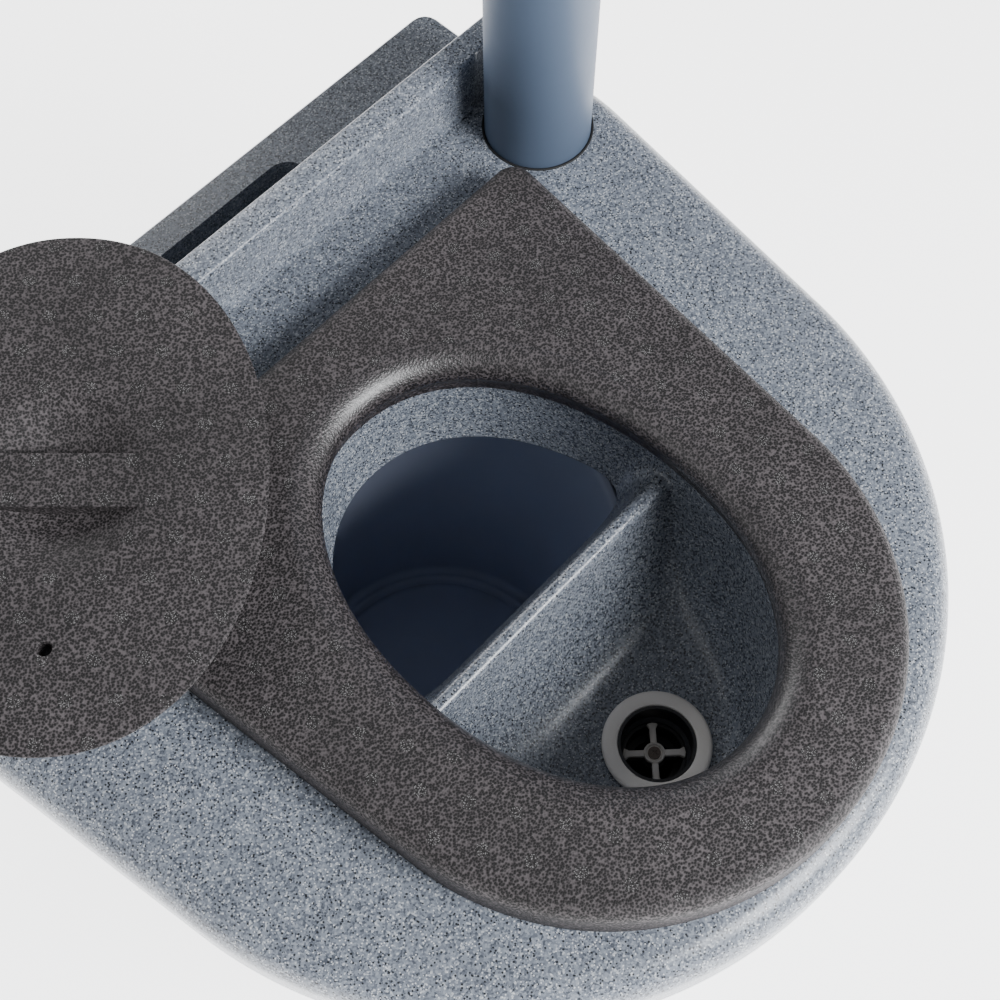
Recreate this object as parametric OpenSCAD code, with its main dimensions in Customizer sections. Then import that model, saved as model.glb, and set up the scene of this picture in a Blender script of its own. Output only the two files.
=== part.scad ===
/* [Body] */
// Height of the deck above the floor
deck_h = 435; // [380:1:480]
// Half of the body's greatest width
body_half_w = 312; // [300:1:340]
// Depth of the body from its rounded front to its flat back
body_depth = 650; // [630:1:720]
// How much further out each side stands at the back than at the round front
side_spread = 27; // [20:1:34]
// Angle at which the sides spread towards the back
side_flare = 7.9; // [6:0.1:9]
// Radius that eases the spreading side into the straight one
side_r = 150; // [100:1:180]
// Radius of the back corners
corner_r = 16; // [12:1:30]
// How far each wall leans in between the deck and the floor
taper = 45; // [20:1:60]
// Wall thickness of the moulded casing
casing_wall = 6; // [4:0.5:8]
// Thickness of the casing's floor
floor_t = 8; // [5:0.5:12]
// Drop of the back ledge below the deck
ledge_drop = 50; // [42:1:70]
// Height of the neck that stands inside the cover's skirt
neck_h = 24; // [12:1:26]

/* [Lid slot] */
// Length of the slot in the back ledge that holds the lid upright
slot_l = 280; // [200:1:340]
// Width of that slot
slot_w = 36; // [34:1:40]
// Depth of that slot
slot_depth = 70; // [40:1:110]
// Distance from the slot's middle to the back of the body
slot_back = 46; // [40:1:52]

/* [Cover] */
// Depth of the cover from the front to the back of its ridge
cover_depth = 543; // [530:1:556]
// Wall thickness of the moulded cover
cover_wall = 5; // [3:0.5:7]
// Radius of the rolled edge round the deck
roll_r = 22; // [12:1:28]
// Height of the ridge above the deck
ridge_h = 52; // [30:1:80]
// Thickness of the ridge from front to back
ridge_t = 22; // [18:1:34]
// Radius of the ridge's top edges
ridge_edge_r = 4; // [2:0.5:6]
// Radius of the hollow that the ridge leaves round the pipe
notch_r = 70; // [64:1:80]
// Wall left behind that hollow
notch_wall = 7; // [6:0.5:10]

/* [Separator] */
// Half width of the well under the seat
well_a = 118; // [114:1:124]
// Half length of the well under the seat
well_b = 166; // [162:1:172]
// Distance from the front of the body to the middle of the well
well_front = 238; // [232:1:244]
// Depth of the chute's lower edge below the deck
chute_depth = 62; // [50:1:70]
// Distance from the well's middle to the chute's front edge
chute_front = 18; // [10:1:26]
// Radius of the chute's front corners at its lower edge
chute_corner_r = 18; // [8:1:24]
// Depth of the partition's crest below the deck
crest_depth = 22; // [14:1:28]
// Width of the partition's crest
crest_w = 9; // [5:1:16]
// Depth of the bowl's floor below the deck
bowl_depth = 105; // [98:1:112]
// Distance from the well's middle to the drain
drain_front = 101; // [95:1:107]

/* [Seat] */
// Thickness of the seat
seat_t = 35; // [28:1:45]
// Radius of the seat's front in plan
seat_front_r = 177; // [170:1:190]
// Angle at which the seat's sides spread towards the back
seat_flare = 5.9; // [4:0.1:8]
// Depth of the seat from front to back
seat_depth = 438; // [425:1:450]
// Distance from the front of the body to the front of the seat
seat_front = 17; // [14:1:24]
// Radius of the seat's back corners
seat_corner_r = 15; // [12:1:30]
// Radius of the seat's outer top edge
seat_edge_r = 9; // [5:1:12]
// Half width of the opening in the seat at its narrowest
opening_a = 108.5; // [105:0.5:110]
// Half length of the opening in the seat at its narrowest
opening_b = 154; // [150:1:157]
// How far the middle of the opening lies behind the middle of the well
opening_back = 3; // [0:1:5]
// How far the opening widens again below the rolled lip
opening_flare = 4; // [0:0.5:5]
// Radius of the rolled lip round the opening
lip_r = 25; // [16:1:27]
// Depth of the rim that holds the seat in the well
seat_rim = 6; // [3:1:10]

/* [Lid] */
// Half width of the lid along its grip
lid_a = 119; // [112:1:126]
// Half length of the lid
lid_b = 160; // [152:1:168]
// Thickness of the lid
lid_t = 32; // [28:1:34]
// How far the lid's side draws in towards its underside
lid_draw = 22; // [16:1:26]
// Width of the grip bar
grip_w = 33; // [26:1:40]
// Half length of the finger scoops
scoop_l = 48; // [42:1:58]
// Reach of each scoop outwards from the grip bar
scoop_reach = 42; // [34:1:50]
// Depth of the scoops at the grip bar
scoop_depth = 19; // [12:1:21]
// Radius of the hanging hole
hang_r = 4; // [3:0.5:6]
// Distance from the lid's middle to its hanging hole
hang_y = 100; // [90:1:118]
// Sideways place of the lid where it is laid aside
lid_x = -168; // [-172:1:-150]
// Distance from the ridge's front to the middle of the lid laid aside
lid_back = 56; // [50:1:70]

/* [Vent pipe] */
// Outer radius of the vent pipe
pipe_r = 37.5; // [36:0.5:39]
// Wall thickness of the vent pipe
pipe_wall = 2.2; // [1.8:0.1:3]
// Height of the vent pipe above the deck
pipe_h = 500; // [300:10:1000]
// Length of the socket at the top of the vent pipe
socket_l = 60; // [45:1:75]
// Distance from the body's side to the middle of the vent pipe
pipe_side = 58; // [57:1:64]
// Distance from the front of the body to the vent pipe
pipe_front = 478; // [474:1:482]
// Depth of the collar that holds the pipe under the deck
collar_l = 60; // [40:1:64]

/* [Bucket] */
// Outer radius of the bucket at its top
bucket_top_r = 140; // [128:1:142]
// Outer radius of the bucket at its foot
bucket_foot_r = 122; // [112:1:124]
// Height of the bucket
bucket_h = 308; // [280:1:312]
// Wall thickness of the bucket
bucket_wall = 3; // [2:0.5:4]
// Distance from the front of the body to the middle of the bucket
bucket_front = 351; // [349:1:356]
// Radius of the raised middle of the bucket's bottom
bucket_step_r = 101; // [90:1:106]
// Radius of the bail's wire
bail_r = 2.5; // [2:0.1:3]
// Radius of the grip on the bail
grip_r = 8; // [6:0.5:9]
// Angle at which the bail hangs below level against the bucket
bail_hang = 16; // [8:1:20]

/* [Drain] */
// Outer radius of the drain's flange
flange_r = 35.8; // [34:0.1:38]
// Inner radius of the drain's flange
flange_bore_r = 25.6; // [25:0.1:26.5]
// Thickness of the drain's flange
flange_t = 4; // [3:0.5:5]
// Inner radius of the strainer cup at the grate
cup_r = 21; // [20:0.5:22]
// Depth of the grate below the flange's top
grate_depth = 20; // [16:1:22]
// Outer radius of the drain pipes
drain_r = 16; // [14:0.5:16.5]
// Wall thickness of the drain pipes
drain_wall = 1.8; // [1.5:0.1:2.5]
// Distance from the bowl's floor down to the level drain pipes
drain_drop = 162; // [156:1:200]
// Radius of the bends in the drain, at their middle
bend_r = 30; // [26:1:32]
// Clear space between the bucket and the long drain pipe
drain_gap = 14.5; // [11:0.5:15]
// Length of the outlet that stands out behind the body
outlet_l = 40; // [34:1:60]

/* [Hidden] */
$fn = 96;

// One overrun serves every cut, and one gap parts surfaces that only rest on each other
over = 1;
rest_gap = 0.3;
slip = 0.05;
front_r = body_half_w - side_spread;
front_y = -body_depth / 2;
back_y = body_depth / 2;
ledge_h = deck_h - ledge_drop;
neck_inset = 14;
neck_t = 5;
skirt_foot_t = 10;
shoulder_inset = 2;
shoulder_r = 3;
foot_r = 6;

cover_back = front_y + cover_depth;
ridge_front = cover_back - ridge_t;
cover_corner_r = 14;
skirt_foot_h = 8;
pipe_x = body_half_w - pipe_side;
pipe_y = front_y + pipe_front;
bowl_floor_h = deck_h - bowl_depth;
well_y = front_y + well_front;
drain_y = well_y - drain_front;
chute_y = well_y + chute_front;
seat_y = front_y + seat_front;
slot_y = back_y - slot_back;
bucket_y = front_y + bucket_front;
rim_r = 5;
pipe_socket_t = 4.5;
drain_x = bucket_top_r + rim_r + drain_gap + drain_r + pipe_socket_t;
drain_h = bowl_floor_h - drain_drop;

// Points along an arc, from one angle to another in n steps
function arc_points(c, r, a0, a1, n) =
    [for (i = [0:n]) let (a = a0 + (a1 - a0) * i / n) c + r * [cos(a), sin(a)]];

// A right half from front to back, closed with its mirror image
function whole(half) = concat(half, [for (i = [len(half) - 1:-1:1]) [-half[i].x, half[i].y]]);

function at(points, z) = [for (p = points) [p.x, p.y, z]];

// Plan of the body: round front, spreading sides that ease straight, flat back
function body_plan(back, corner, inset) =
    let (
        c = [0, front_y + front_r],
        k = front_r - side_r - sin(side_flare) * c.y,
        s = [body_half_w - side_r, (cos(side_flare) * (body_half_w - side_r) - k) / sin(side_flare)],
        r = max(corner - inset, corner / 2)
    )
    whole(concat(
        arc_points(c, front_r - inset, -90, -side_flare, 20),
        arc_points(s, side_r - inset, -side_flare, 0, 2),
        arc_points([body_half_w - inset - r, back - inset - r], r, 0, 90, 4)
    ));

// Plan of the seat: round front and spreading sides up to the back corners
function seat_plan(inset) =
    let (
        c = [0, seat_y + seat_front_r],
        y = seat_y + seat_depth - seat_corner_r,
        k = seat_front_r - seat_corner_r - sin(seat_flare) * c.y,
        x = (k + sin(seat_flare) * y) / cos(seat_flare)
    )
    whole(concat(
        arc_points(c, seat_front_r - inset, -90, -seat_flare, 18),
        arc_points([x, y], seat_corner_r - inset, -seat_flare, 90, 6)
    ));

// A rounded oval with half width a and half length b, fuller than an ellipse above power 2
function oval(a, b, y, power = 2.1, n = 56) =
    [for (i = [0:n - 1]) let (t = 360 * (i + 0.5) / n, c = cos(t), s = sin(t))
        [a * sign(c) * pow(abs(c), 2 / power), y + b * sign(s) * pow(abs(s), 2 / power)]];

// A closed skin over level rings that all have the same number of points
module loft(rings) {
    n = len(rings[0]);
    m = len(rings);
    sides = [for (k = [0:m - 2]) for (i = [0:n - 1]) let (a = k * n + i, b = k * n + (i + 1) % n)
        each [[a, a + n, b + n], [a, b + n, b]]];
    bottom = [for (i = [0:n - 1]) i];
    top = [for (i = [n - 1:-1:0]) (m - 1) * n + i];
    polyhedron([for (r = rings) each r], concat([bottom], sides, [top]));
}

module tube(r, bore, h) {
    difference() {
        cylinder(h = h, r = r);
        translate([0, 0, -over]) cylinder(h = h + 2 * over, r = bore);
    }
}

// CASING: the tapered outer body with its floor, back ledge, lid slot and neck

// How far the casing's wall stands inside the deck's outline at a height
function lean(z) = shoulder_inset + taper * (1 - z / ledge_h);

pillar_r = 12;
clip_t = 3.3;
clip_base_t = 5;
clip_y_share = [0.3, 0.75];
ring_h = 12;
ring_t = 5;
ring_gap = 1.5;
slot_wall = 5;
boss_r = 30;
boss_t = 8;
outlet_hole_gap = 0.5;
outlet_hole_r = drain_r + outlet_hole_gap;
wall_back_y = back_y - lean(drain_h);
clip_h = drain_h - drain_r - clip_base_t;
side_start = drain_y + bend_r;
coupler_back = 85;
side_end = back_y - coupler_back;
clip_at = [for (s = clip_y_share) side_start + s * (side_end - side_start)];

module casing() color([0.50, 0.53, 0.58]) {
    difference() {
        union() {
            difference() {
                loft([
                    at(body_plan(back_y, corner_r, lean(0) + foot_r), 0),
                    at(body_plan(back_y, corner_r, lean(foot_r)), foot_r),
                    at(body_plan(back_y, corner_r, lean(ledge_h - shoulder_r)), ledge_h - shoulder_r),
                    at(body_plan(back_y, corner_r, shoulder_inset + shoulder_r), ledge_h)
                ]);
                loft([
                    at(body_plan(back_y, corner_r, lean(floor_t) + casing_wall), floor_t),
                    at(body_plan(back_y, corner_r, shoulder_inset + casing_wall), ledge_h - casing_wall)
                ]);
            }
            translate([0, 0, ledge_h - casing_wall]) linear_extrude(casing_wall + neck_h)
                polygon(body_plan(cover_back, cover_corner_r, neck_inset));
            lid_slot_walls();
            translate([0, bucket_y, floor_t - over])
                tube(bucket_foot_r + ring_gap + ring_t, bucket_foot_r + ring_gap, ring_h + over);
            for (y = clip_at) translate([drain_x, y, floor_t - over])
                cylinder(h = clip_h - floor_t + over, r = pillar_r);
            outlet_boss();
        }
        translate([0, 0, ledge_h - casing_wall - over]) linear_extrude(casing_wall + neck_h + 2 * over)
            polygon(body_plan(cover_back, cover_corner_r, neck_inset + neck_t));
        lid_slot(0, slot_depth, over);
        translate([pipe_x, pipe_y, deck_h - collar_l - ring_gap])
            cylinder(h = collar_l, r = collar_r + collar_wall + ring_gap);
        along_back(boss_inner - over) cylinder(h = taper + 4 * boss_t, r = outlet_hole_r);
        for (y = clip_at) translate([drain_x, y, clip_h - clip_screw_l])
            cylinder(h = clip_screw_l + over, r = screw_r);
    }
}

module lid_slot(grow, depth, top) {
    translate([0, slot_y, ledge_h - depth]) linear_extrude(depth + top)
        for (side = [-1, 1]) union() {
            translate([side * (slot_l - slot_w) / 2, 0]) circle(slot_w / 2 + grow);
            translate([side * slot_l / 4 - side * slot_w / 4, 0])
                square([(slot_l - slot_w) / 2, slot_w + 2 * grow], center = true);
        }
}

module lid_slot_walls() lid_slot(slot_wall, slot_depth + slot_wall, -casing_wall / 2);

module outlet_boss() {
    translate([drain_x, wall_back_y + boss_t, drain_h]) rotate([90, 0, 0])
        cylinder(h = 2.5 * boss_t, r = boss_r);
}

// TOP COVER: deck, ridge, pipe collar, urine bowl, partition and chute in one moulding

cover_foot = ledge_h + rest_gap;
partition_lean = 14;
partition_y = chute_y - partition_lean;
partition_ease = 6;
crest_corner_r = 2 / 3 * chute_corner_r;
seam_step = 0.6;
bowl_floor_r = 41;
bowl_wall = 5;
bowl_floor_t = 6;
well_draft = 3;
grommet_t = 2;
grommet_h = 8;
grommet_drop = 1;
collar_wall = 5;
collar_r = pipe_r + grommet_t;
stop_t = 6;

// The cover's outer skin at a set-in from its wall, from skirt foot to deck
function cover_skin(t, foot, top) = concat(
    [at(body_plan(cover_back, cover_corner_r, t), foot)],
    [for (a = [0:30:90]) at(
        body_plan(cover_back, cover_corner_r, t + (roll_r - t) * (1 - cos(a))),
        deck_h - roll_r + (roll_r - top) * sin(a)
    )]
);

module ridge_profile(grow) {
    h = ridge_h + roll_r + grow;
    r = max(ridge_edge_r + grow, ridge_edge_r / 2);
    w = ridge_t + 2 * grow;
    translate([-w / 2, 0]) square([w, h - r]);
    translate([-w / 2 + r, 0]) square([w - 2 * r, h]);
    for (side = [-1, 1]) translate([side * (w / 2 - r), h - r]) circle(r);
}

module ridge_body(grow) {
    y = cover_back - ridge_t / 2;
    intersection() {
        translate([-body_half_w, y, deck_h - roll_r]) rotate([90, 0, 90])
            linear_extrude(2 * body_half_w) ridge_profile(grow);
        linear_extrude(deck_h + ridge_h + over)
            polygon(body_plan(cover_back - (grow < 0 ? -grow : 0), cover_corner_r, -grow));
    }
}

// The hollow round the pipe, which runs out to the side of the body
module pipe_notch() {
    intersection() {
        union() {
            translate([pipe_x, pipe_y, deck_h]) cylinder(h = ridge_h + over, r = notch_r);
            translate([pipe_x, pipe_y - notch_r, deck_h])
                cube([pipe_side + over, 2 * notch_r, ridge_h + over]);
        }
        translate([pipe_x - notch_r, pipe_y - notch_r, deck_h])
            cube([2 * notch_r, cover_back - notch_wall - pipe_y + notch_r, ridge_h + over]);
    }
}

// The lower of two values, eased where they meet
function eased_min(v, w) = (v + w - norm([v - w, 2 * partition_ease])) / 2;

// Rings of the bowl from its brim down, as shares of its depth
bowl_step_share = [0.3, 0.55, 0.75, 0.9, 1];

function bowl_ring(u, grow) =
    let (
        s = sqrt(1 - u * u),
        inset = well_draft + seam_step - grow,
        brim = [for (p = oval(well_a - inset, well_b - inset, well_y))
            [p.x, eased_min(p.y, partition_y - crest_w + grow)]],
        base = oval(bowl_floor_r + grow, bowl_floor_r + grow, drain_y, 2)
    )
    [for (i = [0:len(brim) - 1]) base[i] + (brim[i] - base[i]) * s];

function bowl_level(u) = deck_h - crest_depth - (bowl_depth - crest_depth) * u;

module bowl_hollow() {
    loft(concat(
        [for (i = [len(bowl_step_share) - 1:-1:0]) let (u = bowl_step_share[i])
            at(bowl_ring(u, 0), bowl_level(u))],
        [at(bowl_ring(0, 0), bowl_level(0)), at(bowl_ring(0, 0), bowl_level(0) + seam_step)]
    ));
}

module bowl_shell() {
    loft([for (i = [len(bowl_step_share) - 1:-1:0]) let (u = bowl_step_share[i])
        at(bowl_ring(u, bowl_wall), bowl_level(u) - bowl_floor_t * u)]);
}

// The chute's hollow is the well's oval cut off behind the partition, with its corners rounded by r
function chute_ring(y, inset, r) =
    [for (p = oval(well_a - inset, well_b - inset, well_y))
        let (turn = 90 * max(0, min(1, (y + r - p.y) / (4 * r))))
        [p.x * (1 - r * (1 - cos(turn)) / (well_a - inset)), max(p.y, y + r * (1 - sin(turn)))]];

module chute_hollow() {
    inset = well_draft + seam_step;
    loft([
        at(chute_ring(chute_y, inset + 2 * well_draft, chute_corner_r), deck_h - chute_depth - over),
        at(
            chute_ring((chute_y + partition_y) / 2, inset + well_draft, chute_corner_r),
            deck_h - (chute_depth + crest_depth) / 2
        ),
        at(chute_ring(partition_y, inset, crest_corner_r), deck_h - crest_depth),
        at(chute_ring(partition_y, inset, crest_corner_r), deck_h - crest_depth + seam_step)
    ]);
}

module well_hollow() {
    loft([
        at(oval(well_a - well_draft, well_b - well_draft, well_y), deck_h - crest_depth),
        at(oval(well_a, well_b, well_y), deck_h + over)
    ]);
}

module well_shell() {
    inset = 3 * well_draft - bowl_wall;
    loft([
        at(oval(well_a - inset, well_b - inset, well_y), deck_h - chute_depth),
        at(oval(well_a + bowl_wall, well_b + bowl_wall, well_y), deck_h - cover_wall / 2)
    ]);
}

module top_cover() color([0.54, 0.57, 0.62]) {
    difference() {
        union() {
            difference() {
                loft(cover_skin(0, cover_foot, 0));
                loft(cover_skin(skirt_foot_t, cover_foot - over, cover_wall));
            }
            ridge_body(0);
            well_shell();
            bowl_shell();
            translate([pipe_x, pipe_y, deck_h - collar_l])
                cylinder(h = collar_l - over, r = collar_r + collar_wall);
        }
        difference() {
            ridge_body(-cover_wall);
            translate([pipe_x, pipe_y, 0]) cylinder(h = deck_h + ridge_h, r = notch_r + cover_wall);
        }
        pipe_notch();
        well_hollow();
        bowl_hollow();
        chute_hollow();
        translate([pipe_x, pipe_y, deck_h - collar_l + stop_t]) cylinder(h = collar_l, r = collar_r);
        translate([pipe_x, pipe_y, deck_h - collar_l - over]) cylinder(h = collar_l, r = pipe_r - pipe_wall);
        translate([0, drain_y, bowl_floor_h - 2 * bowl_floor_t])
            cylinder(h = 3 * bowl_floor_t, r = cup_neck_r + slack);
    }
}

// SEAT: moulded bead foam with a rolled lip and a rim that drops into the well

seat_foot = deck_h + rest_gap;
seat_top = seat_foot + seat_t;
rim_inset = well_draft * seat_rim / crest_depth + rest_gap;
seat_foot_inset = 2;
seat_foot_h = 3;
opening_y = well_y + opening_back;

module seat() color([0.31, 0.30, 0.31]) {
    edge_h = seat_top - seat_edge_r;
    lip_h = seat_top - lip_r;
    difference() {
        union() {
            loft(concat(
                [at(seat_plan(seat_foot_inset), seat_foot), at(seat_plan(0), seat_foot + seat_foot_h)],
                [for (a = [0:22.5:90])
                    at(seat_plan(seat_edge_r * (1 - cos(a))), edge_h + seat_edge_r * sin(a))]
            ));
            loft([
                at(oval(well_a - rim_inset, well_b - rim_inset, well_y), deck_h - seat_rim),
                at(oval(well_a - rim_inset, well_b - rim_inset, well_y), seat_foot + over)
            ]);
        }
        loft(concat(
            [at(
                oval(opening_a + opening_flare, opening_b + opening_flare, opening_y),
                deck_h - seat_rim - over
            )],
            [for (a = [0:18:90]) at(
                oval(opening_a + lip_r * (1 - cos(a)), opening_b + lip_r * (1 - cos(a)), opening_y),
                lip_h + lip_r * sin(a)
            )],
            [at(oval(opening_a + lip_r, opening_b + lip_r, opening_y), seat_top + over)]
        ));
    }
}

// LID: an oval plug of bead foam with a flush grip bar between two scoops, laid aside

lid_turn = -45;
lid_edge = 3;
lid_front_reach = norm([(lid_b - lid_draw) * cos(lid_turn), (lid_a - lid_draw) * sin(lid_turn)]);
lid_y = ridge_front - lid_back;
lid_tilt = atan((deck_h + ridge_h - seat_top) / (lid_back + lid_front_reach));
lid_base = deck_h + ridge_h + rest_gap - lid_back * tan(lid_tilt);

module lid_scoop() {
    // The scoop's outline is a circle of radius r whose middle lies c inside the bar's edge
    r = (scoop_reach * scoop_reach + scoop_l * scoop_l) / (2 * scoop_reach);
    c = r - scoop_reach;
    // The ball reaches scoop_depth deep at the bar's edge
    ball = ball_r(r, c, scoop_depth);
    intersection() {
        translate([0, grip_w / 2 - c, lid_t + sqrt(ball * ball - r * r)]) sphere(ball);
        translate([-r, grip_w / 2, 0]) cube([2 * r, scoop_reach, lid_t + over]);
    }
}

// Radius of a ball whose cap has radius r and is depth deep at distance c from its middle
function ball_r(r, c, depth) =
    let (q = (r * r - c * c - depth * depth) / (2 * depth)) sqrt(q * q + r * r);

module lid_body() {
    difference() {
        loft([
            at(oval(lid_a - lid_draw, lid_b - lid_draw, 0), 0),
            at(oval(lid_a - lid_edge, lid_b - lid_edge, 0), lid_t - lid_edge),
            at(oval(lid_a, lid_b, 0), lid_t)
        ]);
        lid_scoop();
        mirror([0, 1, 0]) lid_scoop();
        translate([0, -hang_y, -over]) cylinder(h = lid_t + 2 * over, r = hang_r);
    }
}

module lid() color([0.30, 0.29, 0.29]) {
    translate([lid_x, lid_y, lid_base]) rotate([lid_tilt, 0, 0]) rotate([0, 0, lid_turn]) lid_body();
}

// VENT PIPE: a plastic pipe in the cover's collar, socket end up

pipe_foot = deck_h - collar_l + stop_t;
socket_gap = 0.3;
socket_r = pipe_r + socket_gap;
seal_groove_t = 4;
seal_groove_h = 9;
socket_foot = deck_h + pipe_h - socket_l;
groove_foot = deck_h + pipe_h - 2.2 * seal_groove_h;

module vent_pipe() color([0.47, 0.55, 0.66]) translate([pipe_x, pipe_y, 0]) {
    difference() {
        union() {
            translate([0, 0, pipe_foot]) cylinder(h = socket_foot - pipe_foot + over, r = pipe_r);
            translate([0, 0, socket_foot - pipe_wall])
                cylinder(h = 3 * pipe_wall, r1 = pipe_r, r2 = socket_r + pipe_wall);
            translate([0, 0, socket_foot + 2 * pipe_wall])
                cylinder(h = socket_l - 2 * pipe_wall, r = socket_r + pipe_wall);
            translate([0, 0, groove_foot - pipe_wall])
                cylinder(h = seal_groove_h + 2 * pipe_wall, r = socket_r + seal_groove_t + pipe_wall);
        }
        translate([0, 0, pipe_foot - over]) cylinder(h = pipe_h + collar_l, r = pipe_r - pipe_wall);
        translate([0, 0, socket_foot + 2 * pipe_wall]) cylinder(h = socket_l, r = socket_r);
        translate([0, 0, groove_foot]) cylinder(h = seal_groove_h, r = socket_r + seal_groove_t);
    }
}

module vent_pipe_grommet() color([0.07, 0.07, 0.08]) {
    translate([pipe_x, pipe_y, deck_h - grommet_drop - grommet_h]) tube(collar_r, pipe_r, grommet_h);
}

module vent_socket_seal() color([0.07, 0.07, 0.08]) {
    translate([pipe_x, pipe_y, groove_foot]) tube(socket_r + seal_groove_t, socket_r + slip, seal_groove_h);
}

// DRAIN: flange, strainer cup and grate in the bowl's floor

slack = 0.4;
gasket_t = 1.5;
cup_wall = 1.9;
cup_neck_r = flange_bore_r - slack / 2;
cup_top = bowl_floor_h + gasket_t + flange_t - over;
cup_shoulder_inset = 2;
cup_shoulder_r = flange_r - cup_shoulder_inset;
cup_shoulder = bowl_floor_h - bowl_floor_t - gasket_t;
cup_shoulder_t = 4.5;
grate_t = 3.5;
grate_top = cup_top - grate_depth;
grate_seat = grate_top - grate_t;
cup_depth = 18;
cup_floor = grate_seat - cup_depth;
cup_outlet_l = 22;
hub_r = 8;
arm_w = 4.4;
arm_end_w = 10;
screw_r = 2;
screw_head_r = 4.2;
spider_t = 6;
spider_drop = 6;
screw_l = 17;

module at_drain(z) translate([0, drain_y, z]) children();

module drain_flange() color([0.75, 0.71, 0.67]) at_drain(bowl_floor_h + gasket_t) {
    difference() {
        union() {
            cylinder(h = flange_t / 2, r = flange_r);
            translate([0, 0, flange_t / 2])
                cylinder(h = flange_t / 2, r1 = flange_r, r2 = flange_r - flange_t / 2);
        }
        translate([0, 0, -over]) cylinder(h = flange_t + 2 * over, r = flange_bore_r);
    }
}

module flange_gasket() color([0.08, 0.08, 0.08]) at_drain(bowl_floor_h)
    tube(flange_r - over, cup_neck_r + slack, gasket_t);

module strainer_cup() color([0.10, 0.10, 0.10]) at_drain(0) {
    outlet = cup_floor - cup_outlet_l;
    rotate_extrude() polygon([
        [drain_r - drain_wall, outlet], [drain_r, outlet], [drain_r, cup_floor - cup_wall],
        [cup_r + cup_wall, cup_floor - cup_wall], [cup_r + cup_wall, grate_seat], [cup_neck_r, grate_top],
        [cup_neck_r, cup_shoulder - cup_shoulder_t], [cup_shoulder_r, cup_shoulder - cup_shoulder_t],
        [cup_shoulder_r, cup_shoulder],
        [cup_neck_r, cup_shoulder], [cup_neck_r, cup_top], [cup_neck_r - cup_wall, cup_top],
        [cup_neck_r - cup_wall, grate_top + cup_wall], [cup_r, grate_top], [cup_r, grate_seat],
        [cup_r - cup_wall, grate_seat], [cup_r - cup_wall, cup_floor], [drain_r - drain_wall, cup_floor]
    ]);
    difference() {
        union() {
            translate([0, 0, grate_seat - spider_drop - spider_t]) cylinder(h = spider_t, r = hub_r);
            for (turn = [45, 135]) rotate([0, 0, turn]) translate([0, 0, grate_seat - spider_drop - spider_t / 2])
                cube([2 * cup_r - cup_wall, arm_w, spider_t - over], center = true);
        }
        translate([0, 0, cup_floor]) cylinder(h = cup_top, r = screw_r);
    }
}

module cup_gasket() color([0.08, 0.08, 0.08]) at_drain(cup_shoulder)
    tube(cup_shoulder_r - over, cup_neck_r + slack, gasket_t);

module drain_grate() color([0.75, 0.71, 0.67]) at_drain(grate_seat) {
    difference() {
        union() {
            cylinder(h = grate_t, r = hub_r);
            intersection() {
                cylinder(h = grate_t, r = cup_r - slack);
                for (turn = [45:90:315]) rotate([0, 0, turn]) union() {
                    translate([0, -arm_w / 2, 0]) cube([cup_r, arm_w, grate_t]);
                    translate([cup_r - arm_w, -arm_end_w / 2, 0]) cube([arm_w, arm_end_w, grate_t]);
                }
            }
        }
        translate([0, 0, -over]) cylinder(h = grate_t + 2 * over, r = screw_r);
        translate([0, 0, grate_t / 2]) cylinder(h = grate_t, r = hub_r - over);
    }
}

module grate_screw() color([0.55, 0.55, 0.56]) at_drain(grate_seat + grate_t / 2) {
    difference() {
        union() {
            cylinder(h = grate_t / 2, r = screw_head_r);
            translate([0, 0, -screw_l]) cylinder(h = screw_l + over, r = screw_r);
        }
        for (turn = [0, 90]) rotate([0, 0, turn]) translate([0, 0, grate_t / 2])
            cube([screw_head_r, screw_r / 2, grate_t / 2], center = true);
    }
}

// WASTE PIPES: a tail that pulls out of the elbow with the cover, and level pipes to the back

tail_flange_w = 2;
tail_flange_r = drain_r + tail_flange_w;
tail_flange_t = 2;
nut_l = 20;
nut_r = 23;
nut_sides = 8;
tail_top = cup_floor - cup_outlet_l - gasket_t;
socket_in = 26;
seal_h = 5;
seal_t = 2.6;
seal_lip = 6;
tail_foot = drain_h + bend_r + over;
tail_gap = 2;
elbow_top = tail_foot + socket_in;

module tail_pipe() color([0.47, 0.55, 0.66]) at_drain(0) {
    difference() {
        union() {
            translate([0, 0, tail_foot + tail_gap])
                cylinder(h = tail_top - tail_foot - tail_gap, r = drain_r);
            translate([0, 0, tail_top - tail_flange_t]) cylinder(h = tail_flange_t, r = tail_flange_r);
        }
        translate([0, 0, tail_foot]) cylinder(h = tail_top, r = drain_r - drain_wall);
    }
}

module tail_washer() color([0.08, 0.08, 0.08]) at_drain(tail_top)
    tube(tail_flange_r, drain_r - drain_wall, gasket_t);

module tail_nut() color([0.12, 0.12, 0.13]) at_drain(tail_top - tail_flange_t - 2 * gasket_t) {
    difference() {
        cylinder(h = nut_l, r = nut_r, $fn = nut_sides);
        translate([0, 0, -over]) cylinder(h = nut_l, r = drain_r + slack);
        translate([0, 0, 2 * gasket_t]) cylinder(h = nut_l, r = tail_flange_r + slack);
    }
    translate([0, 0, 2 * gasket_t + tail_flange_t + gasket_t + slack])
        tube(tail_flange_r + over, drain_r + slip, nut_l / 2);
}

// A socket along +Z up to its mouth, with a stop for the pipe's end and a groove for its seal
module pipe_socket(l) {
    difference() {
        cylinder(h = l, r = drain_r + pipe_socket_t);
        translate([0, 0, -over]) cylinder(h = l + 2 * over, r = drain_r - drain_wall);
        translate([0, 0, over]) cylinder(h = l, r = drain_r + slack);
        translate([0, 0, l - seal_lip - seal_h]) cylinder(h = seal_h, r = drain_r + seal_t);
    }
}

module socket_seal() tube(drain_r + seal_t, drain_r + slip, seal_h);

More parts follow.
